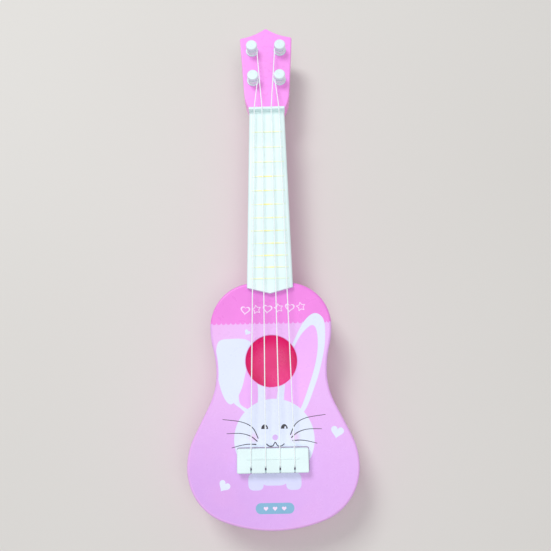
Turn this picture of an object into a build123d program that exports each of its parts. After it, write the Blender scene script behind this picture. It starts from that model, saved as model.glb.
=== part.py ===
from build123d import *
import os

# A four-string toy guitar lying on its back. All dimensions are in millimetres.
# X runs across the guitar, Y from the bottom of the body to the tip of the headstock, and Z
# from the flat back up to the strings. The origin is under the middle of the overall length.
# A "station" is a distance along the guitar, counted from the bottom end of the body.

# Overall sizes
LENGTH = 400.0
BODY_DEPTH = 40.0  # from the flat back to the face of the soundboard
WALL = 2.0
FIT = 0.15  # gap between moulded parts that slot together
SEAM = 0.1  # gap at a visible parting line
TOUCH = 0.05  # gap between pieces that bear on each other
JOIN = 0.5  # how far an added feature runs into what it joins

# Body outline, as tangent arcs from the bottom end to the middle of the top end
BOTTOM_RADIUS = 103.3
BOTTOM_TURN = 20.5
CORNER_RADIUS = 39.5
HIP_RADIUS = 47.4
HIP_TURN = 26.3
FLANK_LENGTH = 24.1
WAIST_RADIUS = 51.5
HOLLOW_RADIUS = 71.6
HOLLOW_TURN = 15.1
BOUT_RADIUS = 63.9
SHOULDER_RADIUS = 33.1

# Body shells
SPLIT_Z = 36.5  # top of the back shell's wall
BACK_RADIUS = 6.0
PANEL_THICKNESS = 2.2
PANEL_EDGE_RADIUS = 1.8
LIP = 1.4
LIP_DEPTH = 3.0
FLOOR_RIB_HEIGHT = 2.4
FLOOR_RIB_LENGTH = 70.0
FLOOR_RIB_STATIONS = [30.0, 62.0]
SOUNDHOLE_RADIUS = 19.1
SOUNDHOLE_STATION = 118.0
SOUNDHOLE_EDGE_RADIUS = 0.5
MOUTH_LENGTH = 30.0  # of the cut for the neck, centred on the end of the body

# Screws and their holes: round sizes are radii
SCREW_HEAD = 2.7
SCREW_HEAD_HEIGHT = 1.8
SCREW_HEAD_EDGE_RADIUS = 0.8
SCREW_SHANK = 1.3
SCREW_POINT_TAPER = 40
CROSS_LENGTH = 2.6
CROSS_WIDTH = 0.6
CROSS_DEPTH = 1.0
PILOT = 1.35
CLEARANCE_HOLE = 1.6
RECESS = 3.1
POST = 4.6
BOSS = 3.6
BODY_POST_TOP = 20.0
BODY_SCREW_SEAT = 14.0
BODY_SCREW_LENGTH = 15.0
BODY_SCREW_PLACES = [(46.0, 27.0), (33.0, 102.0), (31.0, 149.0)]  # half-width, station
NECK_SCREW_LENGTH = 19.0
NECK_SCREW_PLACE = (6.5, 162.0)

# Neck and heel
NECK_UNDERSIDE = 22.0
NECK_WALL = 1.8
NECK_ROUND = 9.0
NECK_SCREW_SEAT = 26.0  # where the heads of the screws in the neck and headstock bear
NECK_POST_TOP = 29.0
NECK_END_WALL = 180.0  # station where the hollow of the neck begins
HEEL_UNDERSIDE = 7.0
HEEL_HALF_WIDTH = 14.0
HEEL_LENGTH = 15.0
HEEL_STATION = 177.0
HEEL_EDGE_RADIUS = 3.0
TENON_HALF_WIDTH = 12.0
TENON_STATION = 150.0
TENON_UNDERSIDE = 26.0
TENON_TOP = 36.2
TENON_CORE_LENGTH = 22.0

# Fretboard
BOARD_TOP = 44.0
BOARD_SKIN = 1.6
BOARD_TIP_STATION = 168.4
BOARD_CORNER_STATION = 173.0
BOARD_CORNER_HALF_WIDTH = 17.5
BOARD_NUT_HALF_WIDTH = 14.25
BOARD_EDGE_RADIUS = 2.0
BOARD_OVERHANG = 0.5  # beyond the neck on each side
FRET_COUNT = 12
FIRST_FRET_STATION = 300.1
FIRST_FRET_GAP = 13.1
FRET_GAP_STEP = 0.43  # how much shorter each gap is than the one before it
FRET_WIDTH = 0.9
FRET_HEIGHT = 0.35
FRET_MARGIN = 2.6  # plain strip beyond each end of a fret
BOARD_SCREW_STATIONS = [198.0, 246.0, 294.0]
BOARD_SCREW_LENGTH = 10.0
BOARD_LIP_START = 186.0
BOARD_LIP_END = 313.0

# Nut
NUT_STATION = 318.2  # its side towards the body
NUT_THICKNESS = 2.3
NUT_TOP = 48.2
NUT_HALF_WIDTH = 14.5
NUT_EDGE_RADIUS = 0.6
NUT_GROOVE_RADIUS = 0.55
NUT_STRING_SPACING = [-9.9, -3.7, 3.7, 9.9]

# Headstock
FACE_Z = 36.0
COVER_THICKNESS = 2.5
HEAD_WALL = 1.8
HEAD_FLOOR = 2.0
HEAD_START = 321.2
HEAD_CORNER = (22.0, 391.2)
HEAD_SHOULDER = (18.8, 339.5)
HEAD_SHOULDER_MIDDLE = (17.6, 332.0)
HEAD_ROOT = (14.6, 324.5)
HEAD_CROWN_MIDDLE = (9.2, 394.9)
HEAD_TIP = 400.4
HEAD_TIP_RADIUS = 2.0
HEAD_CORNER_RADIUS = 1.6
HEAD_EDGE_RADIUS = 0.9
HEAD_SCREW_STATIONS = [333.0, 364.5, 386.0]
HEAD_SCREW_LENGTH = 7.0

# Tuning pegs: X and station of each, in the order of the strings; round sizes are radii
PEG_PLACES = [(-11.0, 350.9), (-11.7, 378.4), (11.7, 378.4), (11.0, 350.9)]
PEG_SHAFT = 3.0
PEG_BORE = 3.07
PEG_TUBE = 4.7
PEG_FLANGE = 5.2
PEG_FLANGE_HEIGHT = 1.3
PEG_FLANGE_EDGE_RADIUS = 0.4
PEG_SPOOL = 3.6
PEG_CAP = 4.6
PEG_CAP_EDGE_RADIUS = 0.9
PEG_CAP_UNDERSIDE = 42.6
PEG_CAP_TOP = 45.6
PEG_END = 15.2
PEG_PILOT_DEPTH = 12.0
PEG_FLAT = 0.9  # depth of the flat on the shaft that drives the key
PEG_PLAY = 0.12  # between the flange and the headstock
WASHER_RADIUS = 4.9
WASHER_THICKNESS = 0.8
KEY_TOP = 20.95
KEY_END = 9.5
KEY_WING_TOP = 18.95
KEY_WING_REACH = 8.6
KEY_WING_CORNER_RADIUS = 4.2
KEY_THICKNESS = 3.2
KEY_EDGE_RADIUS = 0.8
KEY_HUB = 4.3
KEY_HUB_END = 10.5
KEY_SCREW_SEAT = 13.4
KEY_SCREW_LENGTH = 10.0

# Bridge
BRIDGE_WIDTH = 50.8
BRIDGE_LENGTH = 16.8
BRIDGE_STATION = 47.7
BRIDGE_HEIGHT = 7.0
BRIDGE_WALL = 1.6
BRIDGE_CORNER_RADIUS = 1.2
BRIDGE_EDGE_RADIUS = 0.8
SADDLE_STATION = 49.1
SADDLE_WIDTH = 37.2
SADDLE_THICKNESS = 1.2
SADDLE_HEIGHT = 0.45
SADDLE_CORNER_RADIUS = 0.5
SADDLE_EDGE_RADIUS = 0.3
SLOT_WIDTH = 1.2
SLOT_LENGTH = 5.1
SLOT_FLOOR = 2.0  # above the soundboard
BRIDGE_BOSS = 2.8
BRIDGE_SCREW_X = 20.0
BRIDGE_SCREW_LENGTH = 6.5

# Strings
STRING_RADIUS = 0.4
BRIDGE_STRING_SPACING = [-15.4, -5.1, 5.1, 15.4]
KNOT_RADIUS = 1.1
KNOT_SETBACK = 0.7  # from the closed end of the slot
STRING_OVER_NUT = 0.1  # centre of the string above the top of the nut
STRING_OVER_SLOT = 0.55  # centre of the string above the bridge where it leaves the slot
WINDING_TURNS = 4
WINDING_PITCH = 0.78
STRING_AT_SPOOL_Z = 41.2
STRING_SPOOL_GAP = 0.1
SLOT_BEND_RADIUS = 0.8
SADDLE_BEND_RADIUS = 4.0


def y_at(station):
    """The Y of a station."""
    return station - LENGTH / 2


def board_half_width(station):
    """Half the width of the fretboard, which narrows evenly towards the nut."""
    narrowing = BOARD_CORNER_HALF_WIDTH - BOARD_NUT_HALF_WIDTH
    taper = narrowing / (NUT_STATION - BOARD_CORNER_STATION)
    return BOARD_CORNER_HALF_WIDTH - taper * (station - BOARD_CORNER_STATION)


def both_sides(places, z):
    """Mirrored pairs of points from half-widths and stations."""
    return [(side * x, y_at(station), z) for x, station in places for side in (-1, 1)]


def on_centreline(stations, z):
    """Points on the centreline at the given stations."""
    return [(0, y_at(station), z) for station in stations]


def at_pegs(z):
    """Points on the axes of the tuning pegs."""
    return [(x, y_at(station), z) for x, station in PEG_PLACES]


def facing_down(points):
    """Planes at the points, looking at the back of the guitar, for holes cut from behind."""
    return [Plane(origin=point, x_dir=(1, 0, 0), z_dir=(0, 0, -1)) for point in points]


def tapered_strip(start, end, inset):
    """The plan of a stretch of neck, at a distance inside the fretboard's edges."""
    low, high = board_half_width(start) - inset, board_half_width(end) - inset
    return Polygon(
        (-low, y_at(start)),
        (low, y_at(start)),
        (high, y_at(end)),
        (-high, y_at(end)),
        align=None,
        mode=Mode.PRIVATE,
    )


# Outlines shared by several parts ---------------------------------------------------------

with BuildSketch() as body_outline:
    with BuildLine():
        bottom = JernArc((0, y_at(0)), (1, 0), BOTTOM_RADIUS, BOTTOM_TURN)
        corner = JernArc(bottom @ 1, bottom % 1, CORNER_RADIUS, 90 - BOTTOM_TURN)
        hip = JernArc(corner @ 1, corner % 1, HIP_RADIUS, HIP_TURN)
        flank = Line(hip @ 1, hip @ 1 + (hip % 1) * FLANK_LENGTH)
        waist = JernArc(flank @ 1, flank % 1, WAIST_RADIUS, -HIP_TURN)
        hollow = JernArc(waist @ 1, waist % 1, HOLLOW_RADIUS, -HOLLOW_TURN)
        bout = JernArc(hollow @ 1, hollow % 1, BOUT_RADIUS, HOLLOW_TURN)
        shoulder = JernArc(bout @ 1, bout % 1, SHOULDER_RADIUS, 90)
        Line(shoulder @ 1, (0, (shoulder @ 1).Y))
        mirror(about=Plane.YZ)
    make_face()

end_of_body = (shoulder @ 1).Y
shell_inside = offset(body_outline.sketch, amount=-WALL)
lip_outside = offset(body_outline.sketch, amount=-(WALL + FIT))
lip_inside = offset(body_outline.sketch, amount=-(WALL + FIT + LIP))
body_surround = offset(body_outline.sketch, amount=SEAM)

with BuildSketch() as head_outline:
    with BuildLine():
        root = Line((HEAD_ROOT[0], y_at(HEAD_START)), (HEAD_ROOT[0], y_at(HEAD_ROOT[1])))
        cheek = ThreePointArc(
            root @ 1,
            (HEAD_SHOULDER_MIDDLE[0], y_at(HEAD_SHOULDER_MIDDLE[1])),
            (HEAD_SHOULDER[0], y_at(HEAD_SHOULDER[1])),
        )
        side = Line(cheek @ 1, (HEAD_CORNER[0], y_at(HEAD_CORNER[1])))
        ThreePointArc(
            side @ 1,
            (HEAD_CROWN_MIDDLE[0], y_at(HEAD_CROWN_MIDDLE[1])),
            (0, y_at(HEAD_TIP)),
        )
        Line(root @ 0, (0, y_at(HEAD_START)))
        mirror(about=Plane.YZ)
    make_face()
    crown_tip = head_outline.vertices().sort_by(Axis.Y)[-1]
    fillet(crown_tip, radius=HEAD_TIP_RADIUS)
    top_corners = head_outline.vertices().group_by(Axis.X)
    fillet(top_corners[0] + top_corners[-1], radius=HEAD_CORNER_RADIUS)

head_inside = offset(head_outline.sketch, amount=-HEAD_WALL)
head_lip_outside = offset(head_outline.sketch, amount=-(HEAD_WALL + FIT))
head_lip_inside = offset(head_outline.sketch, amount=-(HEAD_WALL + FIT + LIP))


# Body ---------------------------------------------------------------------------------------

with BuildPart() as soundbox_hollow:
    with BuildSketch(Plane.XY.offset(WALL)):
        add(shell_inside)
    extrude(amount=SPLIT_Z)
    fillet(faces().sort_by(Axis.Z)[0].edges(), radius=BACK_RADIUS - WALL)

with BuildPart() as body_back_shell:
    with BuildSketch():
        add(body_outline.sketch)
    extrude(amount=SPLIT_Z)
    fillet(faces().sort_by(Axis.Z)[0].edges(), radius=BACK_RADIUS)
    add(soundbox_hollow.part, mode=Mode.SUBTRACT)
    # Stiffening ribs across the floor, clear of the view through the soundhole
    with BuildSketch(Plane.XY.offset(WALL / 2)):
        with Locations(*on_centreline(FLOOR_RIB_STATIONS, 0)):
            Rectangle(FLOOR_RIB_LENGTH, WALL)
    extrude(amount=WALL / 2 + FLOOR_RIB_HEIGHT)
    # Posts for the panel's screws and, higher, for the neck's screws
    with BuildSketch(Plane.XY.offset(WALL / 2)):
        with Locations(*both_sides(BODY_SCREW_PLACES, 0)):
            Circle(POST)
    extrude(amount=BODY_POST_TOP - WALL / 2)
    with BuildSketch(Plane.XY.offset(WALL / 2)):
        with Locations(*both_sides([NECK_SCREW_PLACE], 0)):
            Circle(POST)
    extrude(amount=TENON_UNDERSIDE - FIT - WALL / 2)
    with Locations(*facing_down(both_sides(BODY_SCREW_PLACES + [NECK_SCREW_PLACE], 0))):
        CounterBoreHole(CLEARANCE_HOLE, RECESS, BODY_SCREW_SEAT, depth=TENON_UNDERSIDE)
    # Mouth in the end wall that the neck's tenon enters
    with Locations((0, end_of_body, SPLIT_Z)):
        Box(
            2 * (TENON_HALF_WIDTH + FIT),
            MOUTH_LENGTH,
            SPLIT_Z - TENON_UNDERSIDE + FIT,
            align=(Align.CENTER, Align.CENTER, Align.MAX),
            mode=Mode.SUBTRACT,
        )

with BuildPart() as body_front_panel:
    with BuildSketch(Plane.XY.offset(SPLIT_Z + SEAM)):
        add(body_outline.sketch)
    extrude(amount=BODY_DEPTH - SPLIT_Z - SEAM)
    fillet(faces().sort_by(Axis.Z)[-1].edges(), radius=PANEL_EDGE_RADIUS)
    with BuildSketch(Plane.XY.offset(SPLIT_Z + SEAM)):
        add(lip_inside)
    extrude(amount=BODY_DEPTH - PANEL_THICKNESS - SPLIT_Z - SEAM, mode=Mode.SUBTRACT)
    # Locating lip inside the back shell's wall, left out where the tenon passes
    with BuildSketch(Plane.XY.offset(SPLIT_Z - LIP_DEPTH)):
        add(lip_outside)
        add(lip_inside, mode=Mode.SUBTRACT)
        with Locations((0, end_of_body)):
            Rectangle(2 * (TENON_HALF_WIDTH + FIT), MOUTH_LENGTH, mode=Mode.SUBTRACT)
    extrude(amount=LIP_DEPTH + SEAM + JOIN)
    # Bosses that the body screws bite into
    with BuildSketch(Plane.XY.offset(BODY_POST_TOP + SEAM)):
        with Locations(*both_sides(BODY_SCREW_PLACES, 0)):
            Circle(BOSS)
            Circle(PILOT, mode=Mode.SUBTRACT)
    extrude(amount=BODY_DEPTH - PANEL_THICKNESS - BODY_POST_TOP - SEAM + JOIN)
    with Locations((0, y_at(SOUNDHOLE_STATION), BODY_DEPTH)):
        Hole(SOUNDHOLE_RADIUS)
    top_circles = edges().filter_by(GeomType.CIRCLE).group_by(Axis.Z)[-1]
    soundhole_rim = top_circles.sort_by_distance((0, y_at(SOUNDHOLE_STATION), BODY_DEPTH))[0]
    fillet(soundhole_rim, radius=SOUNDHOLE_EDGE_RADIUS)
    with Locations(*both_sides([(BRIDGE_SCREW_X, BRIDGE_STATION)], BODY_DEPTH)):
        Hole(CLEARANCE_HOLE)


# Neck ---------------------------------------------------------------------------------------

with BuildPart() as neck_hollow:
    with BuildSketch(Plane.XY.offset(NECK_UNDERSIDE + NECK_WALL)):
        add(tapered_strip(NECK_END_WALL, NUT_STATION - NECK_WALL, BOARD_OVERHANG + NECK_WALL))
    extrude(amount=BODY_DEPTH - NECK_UNDERSIDE)
    inner_edges = faces().sort_by(Axis.Z)[0].edges().filter_by(Axis.X, reverse=True)
    fillet(inner_edges, radius=NECK_ROUND - NECK_WALL)
    with BuildSketch(Plane.XY.offset(HEEL_UNDERSIDE + NECK_WALL)):
        with Locations((0, y_at(HEEL_STATION))):
            Ellipse(HEEL_HALF_WIDTH - NECK_WALL, HEEL_LENGTH - NECK_WALL)
        with Locations((0, y_at(NECK_END_WALL))):
            Rectangle(
                2 * HEEL_HALF_WIDTH,
                2 * HEEL_LENGTH,
                align=(Align.CENTER, Align.MAX),
                mode=Mode.SUBTRACT,
            )
    extrude(amount=NECK_UNDERSIDE - HEEL_UNDERSIDE)

with BuildPart() as head_hollow:
    with BuildSketch(Plane.XY.offset(NECK_UNDERSIDE + HEAD_FLOOR)):
        add(head_inside)
    extrude(amount=FACE_Z - NECK_UNDERSIDE)
    # Left standing in the hollow: bearing tubes for the pegs, and screw posts
    with BuildSketch(Plane.XY.offset(NECK_UNDERSIDE)):
        with Locations(*at_pegs(0)):
            Circle(PEG_TUBE)
    extrude(amount=FACE_Z - COVER_THICKNESS - FIT - NECK_UNDERSIDE, mode=Mode.SUBTRACT)
    with BuildSketch(Plane.XY.offset(NECK_UNDERSIDE)):
        with Locations(*on_centreline(HEAD_SCREW_STATIONS, 0)):
            Circle(POST)
    extrude(amount=NECK_POST_TOP - NECK_UNDERSIDE, mode=Mode.SUBTRACT)

with BuildPart() as neck_shell:
    with BuildSketch(Plane.XY.offset(NECK_UNDERSIDE)):
        add(tapered_strip(BOARD_CORNER_STATION, HEAD_START, BOARD_OVERHANG))
    extrude(amount=BODY_DEPTH - NECK_UNDERSIDE)
    outer_edges = faces().sort_by(Axis.Z)[0].edges().filter_by(Axis.X, reverse=True)
    fillet(outer_edges, radius=NECK_ROUND)
    # Heel, a rounded column under the end of the neck
    with BuildSketch(Plane.XY.offset(HEEL_UNDERSIDE)):
        with Locations((0, y_at(HEEL_STATION))):
            Ellipse(HEEL_HALF_WIDTH, HEEL_LENGTH)
    extrude(amount=NECK_UNDERSIDE + NECK_WALL - HEEL_UNDERSIDE)
    fillet(faces().sort_by(Axis.Z)[0].edges(), radius=HEEL_EDGE_RADIUS)
    with BuildSketch():
        add(body_surround)
    extrude(amount=BODY_DEPTH, mode=Mode.SUBTRACT)
    # Headstock tray
    with BuildSketch(Plane.XY.offset(NECK_UNDERSIDE)):
        add(head_outline.sketch)
    extrude(amount=FACE_Z - COVER_THICKNESS - SEAM - NECK_UNDERSIDE)
    add(neck_hollow.part, mode=Mode.SUBTRACT)
    add(head_hollow.part, mode=Mode.SUBTRACT)
    # Tenon that reaches into the body, cored out from above
    with BuildSketch(Plane.XY.offset(TENON_UNDERSIDE)):
        with Locations((0, y_at(TENON_STATION))):
            Rectangle(
                2 * TENON_HALF_WIDTH,
                NECK_END_WALL - TENON_STATION,
                align=(Align.CENTER, Align.MIN),
            )
    extrude(amount=TENON_TOP - TENON_UNDERSIDE)
    with BuildSketch(Plane.XY.offset(TENON_UNDERSIDE + NECK_WALL)):
        with Locations((0, y_at(TENON_STATION + NECK_WALL))):
            Rectangle(
                2 * (TENON_HALF_WIDTH - NECK_WALL),
                TENON_CORE_LENGTH,
                align=(Align.CENTER, Align.MIN),
            )
        with Locations(*both_sides([NECK_SCREW_PLACE], 0)):
            Circle(BOSS, mode=Mode.SUBTRACT)
    extrude(amount=TENON_TOP, mode=Mode.SUBTRACT)
    with Locations(*facing_down(both_sides([NECK_SCREW_PLACE], TENON_UNDERSIDE))):
        Hole(PILOT, depth=TENON_TOP - TENON_UNDERSIDE - NECK_WALL)
    # Posts for the fretboard's screws
    with BuildSketch(Plane.XY.offset(NECK_UNDERSIDE + NECK_WALL / 2)):
        with Locations(*on_centreline(BOARD_SCREW_STATIONS, 0)):
            Circle(POST)
    extrude(amount=NECK_POST_TOP - NECK_UNDERSIDE - NECK_WALL / 2)
    neck_screw_stations = BOARD_SCREW_STATIONS + HEAD_SCREW_STATIONS
    with Locations(*facing_down(on_centreline(neck_screw_stations, NECK_UNDERSIDE))):
        CounterBoreHole(
            CLEARANCE_HOLE,
            RECESS,
            NECK_SCREW_SEAT - NECK_UNDERSIDE,
            depth=NECK_POST_TOP - NECK_UNDERSIDE + JOIN,
        )
    with Locations(*at_pegs(FACE_Z)):
        Hole(PEG_BORE)

with BuildPart() as headstock_cover:
    with BuildSketch(Plane.XY.offset(FACE_Z - COVER_THICKNESS)):
        add(head_outline.sketch)
    extrude(amount=COVER_THICKNESS)
    face_edges = faces().sort_by(Axis.Z)[-1].edges().sort_by(Axis.Y)
    fillet(face_edges[1:], radius=HEAD_EDGE_RADIUS)
    with BuildSketch(Plane.XY.offset(FACE_Z - COVER_THICKNESS - LIP)):
        add(head_lip_outside)
        add(head_lip_inside, mode=Mode.SUBTRACT)
    extrude(amount=2 * LIP)
    with BuildSketch(Plane.XY.offset(NECK_POST_TOP + SEAM)):
        with Locations(*on_centreline(HEAD_SCREW_STATIONS, 0)):
            Circle(BOSS)
            Circle(PILOT, mode=Mode.SUBTRACT)
    extrude(amount=FACE_Z - COVER_THICKNESS - NECK_POST_TOP)
    with Locations(*at_pegs(FACE_Z)):
        Hole(PEG_BORE)


# Fretboard, nut and bridge ------------------------------------------------------------------

with BuildPart() as fretboard:
    with BuildSketch(Plane.XY.offset(BODY_DEPTH)):
        board_end = NUT_STATION - SEAM
        Polygon(
            (0, y_at(BOARD_TIP_STATION)),
            (BOARD_CORNER_HALF_WIDTH, y_at(BOARD_CORNER_STATION)),
            (board_half_width(board_end), y_at(board_end)),
            (-board_half_width(board_end), y_at(board_end)),
            (-BOARD_CORNER_HALF_WIDTH, y_at(BOARD_CORNER_STATION)),
            align=None,
        )
    extrude(amount=BOARD_TOP - BODY_DEPTH)
    long_edges = faces().sort_by(Axis.Z)[-1].edges().sort_by(Axis.Y)[2:4]
    fillet(long_edges, radius=BOARD_EDGE_RADIUS)
    # Hollow underside over the neck, with a lip inside the neck and bosses for its screws
    with BuildSketch(Plane.XY.offset(BODY_DEPTH - LIP)):
        lip_inset = BOARD_OVERHANG + NECK_WALL + FIT
        add(tapered_strip(BOARD_LIP_START, BOARD_LIP_END, lip_inset))
    extrude(amount=2 * LIP)
    with BuildSketch(Plane.XY.offset(BODY_DEPTH - LIP)):
        add(tapered_strip(BOARD_LIP_START + LIP, BOARD_LIP_END - LIP, lip_inset + LIP))
        with Locations(*on_centreline(BOARD_SCREW_STATIONS, 0)):
            Circle(BOSS, mode=Mode.SUBTRACT)
    extrude(amount=BOARD_TOP - BODY_DEPTH + LIP - BOARD_SKIN, mode=Mode.SUBTRACT)
    with BuildSketch(Plane.XY.offset(NECK_POST_TOP + SEAM)):
        with Locations(*on_centreline(BOARD_SCREW_STATIONS, 0)):
            Circle(BOSS)
            Circle(PILOT, mode=Mode.SUBTRACT)
    extrude(amount=BOARD_TOP - BOARD_SKIN - NECK_POST_TOP)
    # Moulded frets: the gaps between them shrink evenly towards the body
    for number in range(FRET_COUNT):
        travel = number * FIRST_FRET_GAP - FRET_GAP_STEP * number * (number - 1) / 2
        station = FIRST_FRET_STATION - travel
        with BuildSketch(Plane.XY.offset(BOARD_TOP - FRET_HEIGHT)):
            with Locations((0, y_at(station))):
                Rectangle(2 * (board_half_width(station) - FRET_MARGIN), FRET_WIDTH)
        extrude(amount=2 * FRET_HEIGHT)

with BuildPart() as nut:
    with BuildSketch(Plane.XY.offset(BODY_DEPTH)):
        with Locations((0, y_at(NUT_STATION))):
            Rectangle(2 * NUT_HALF_WIDTH, NUT_THICKNESS, align=(Align.CENTER, Align.MIN))
    extrude(amount=NUT_TOP - BODY_DEPTH)
    fillet(faces().sort_by(Axis.Z)[-1].edges(), radius=NUT_EDGE_RADIUS)
    # Grooves that the strings lie in
    with Locations(*[(x, y_at(NUT_STATION), NUT_TOP) for x in NUT_STRING_SPACING]):
        Cylinder(NUT_GROOVE_RADIUS, 4 * NUT_THICKNESS, rotation=(90, 0, 0), mode=Mode.SUBTRACT)

with BuildPart() as bridge:
    with BuildSketch(Plane.XY.offset(BODY_DEPTH)):
        with Locations((0, y_at(BRIDGE_STATION))):
            RectangleRounded(BRIDGE_WIDTH, BRIDGE_LENGTH, BRIDGE_CORNER_RADIUS)
    extrude(amount=BRIDGE_HEIGHT)
    fillet(faces().sort_by(Axis.Z)[-1].edges(), radius=BRIDGE_EDGE_RADIUS)
    with BuildSketch(Plane.XY.offset(BODY_DEPTH)):
        with Locations((0, y_at(BRIDGE_STATION))):
            Rectangle(BRIDGE_WIDTH - 2 * BRIDGE_WALL, BRIDGE_LENGTH - 2 * BRIDGE_WALL)
        with Locations(*both_sides([(BRIDGE_SCREW_X, BRIDGE_STATION)], 0)):
            Circle(BRIDGE_BOSS, mode=Mode.SUBTRACT)
    extrude(amount=BRIDGE_HEIGHT - BRIDGE_WALL, mode=Mode.SUBTRACT)
    with Locations(*facing_down(both_sides([(BRIDGE_SCREW_X, BRIDGE_STATION)], BODY_DEPTH))):
        Hole(PILOT, depth=BRIDGE_HEIGHT - BRIDGE_WALL)
    # Saddle ridge that the strings bend over
    with BuildSketch(Plane.XY.offset(BODY_DEPTH + BRIDGE_HEIGHT - BRIDGE_WALL / 2)):
        with Locations((0, y_at(SADDLE_STATION))):
            RectangleRounded(SADDLE_WIDTH, SADDLE_THICKNESS, SADDLE_CORNER_RADIUS)
    extrude(amount=BRIDGE_WALL / 2 + SADDLE_HEIGHT)
    fillet(faces().sort_by(Axis.Z)[-1].edges(), radius=SADDLE_EDGE_RADIUS)
    # Slots, open towards the bottom of the body, that hold the knotted ends of the strings
    with BuildSketch(Plane.XY.offset(BODY_DEPTH + SLOT_FLOOR)):
        open_ends = [(x, y_at(BRIDGE_STATION) - BRIDGE_LENGTH / 2) for x in BRIDGE_STRING_SPACING]
        with Locations(*open_ends):
            Rectangle(SLOT_WIDTH, 2 * SLOT_LENGTH)
    extrude(amount=BRIDGE_HEIGHT, mode=Mode.SUBTRACT)


# Strings ------------------------------------------------------------------------------------

def string_route(bridge_x, nut_x, peg_x, peg_station):
    """Points along a string: knot, slot, saddle, nut, and where it meets the peg's spool."""
    inwards = -1 if peg_x > 0 else 1
    spool_x = peg_x + inwards * (PEG_SPOOL + STRING_RADIUS + STRING_SPOOL_GAP)
    slot_y = y_at(BRIDGE_STATION) - BRIDGE_LENGTH / 2 + SLOT_LENGTH - KNOT_SETBACK
    bridge_top = BODY_DEPTH + BRIDGE_HEIGHT
    return [
        (bridge_x, slot_y, bridge_top - BRIDGE_WALL - KNOT_RADIUS),
        (bridge_x, slot_y, bridge_top + STRING_OVER_SLOT),
        (bridge_x, y_at(SADDLE_STATION), bridge_top + SADDLE_HEIGHT + STRING_RADIUS + TOUCH),
        (nut_x, y_at(NUT_STATION + NUT_THICKNESS / 2), NUT_TOP + STRING_OVER_NUT),
        (spool_x, y_at(peg_station), STRING_AT_SPOOL_Z),
    ]


def make_string(route):
    """A round string swept along its route, with the knot at its first point."""
    with BuildPart() as string:
        with BuildLine() as path:
            bends = [SLOT_BEND_RADIUS, SADDLE_BEND_RADIUS, SADDLE_BEND_RADIUS]
            FilletPolyline(*route, radius=bends)
        with BuildSketch(Plane(origin=path.line @ 0, z_dir=path.line % 0)):
            Circle(STRING_RADIUS)
        sweep()
        with Locations(route[0]):
            Sphere(KNOT_RADIUS)
    return string.part


# Tuning pegs --------------------------------------------------------------------------------

def make_peg(x, y):
    """Cap, spool, flange and shaft in one moulding, turned about its own axis."""
    flange_z = FACE_Z + PEG_PLAY
    spool_z = flange_z + PEG_FLANGE_HEIGHT
    with BuildPart() as peg:
        with BuildSketch(Plane.XY.offset(PEG_END)):
            with Locations((x, y)):
                Circle(PEG_SHAFT)
        extrude(amount=flange_z - PEG_END)
        with BuildSketch(Plane.XY.offset(flange_z)):
            with Locations((x, y)):
                Circle(PEG_FLANGE)
        extrude(amount=PEG_FLANGE_HEIGHT)
        fillet(faces().sort_by(Axis.Z)[-1].edges(), radius=PEG_FLANGE_EDGE_RADIUS)
        with BuildSketch(Plane.XY.offset(spool_z)):
            with Locations((x, y)):
                Circle(PEG_SPOOL)
        extrude(amount=PEG_CAP_UNDERSIDE - spool_z)
        with BuildSketch(Plane.XY.offset(PEG_CAP_UNDERSIDE)):
            with Locations((x, y)):
                Circle(PEG_CAP)
        extrude(amount=PEG_CAP_TOP - PEG_CAP_UNDERSIDE)
        fillet(faces().sort_by(Axis.Z)[-1].edges(), radius=PEG_CAP_EDGE_RADIUS)
        # Flat on the end of the shaft that drives the key, and the pilot for the key's screw
        with BuildSketch(Plane.XY.offset(PEG_END)):
            with Locations((x + PEG_SHAFT, y)):
                Rectangle(2 * PEG_FLAT, 2 * PEG_SHAFT)
        extrude(amount=KEY_TOP - PEG_END, mode=Mode.SUBTRACT)
        with Locations(*facing_down([(x, y, PEG_END)])):
            Hole(PILOT, depth=PEG_PILOT_DEPTH)
    return peg.part


def make_winding(x, y):
    """The turns of string wound on a spool, as one ribbed ring."""
    lowest = FACE_Z + PEG_PLAY + PEG_FLANGE_HEIGHT + STRING_RADIUS + TOUCH
    inside = PEG_SPOOL + TOUCH
    with BuildPart() as winding:
        with BuildSketch(Plane.XZ.offset(-y)):
            for turn in range(WINDING_TURNS):
                with Locations((x + inside + STRING_RADIUS, lowest + turn * WINDING_PITCH)):
                    Circle(STRING_RADIUS)
            with Locations((x + inside, lowest)):
                Rectangle(
                    STRING_RADIUS,
                    (WINDING_TURNS - 1) * WINDING_PITCH,
                    align=(Align.MIN, Align.MIN),
                )
        revolve(axis=Axis((x, y, 0), (0, 0, 1)))
    return winding.part


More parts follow.
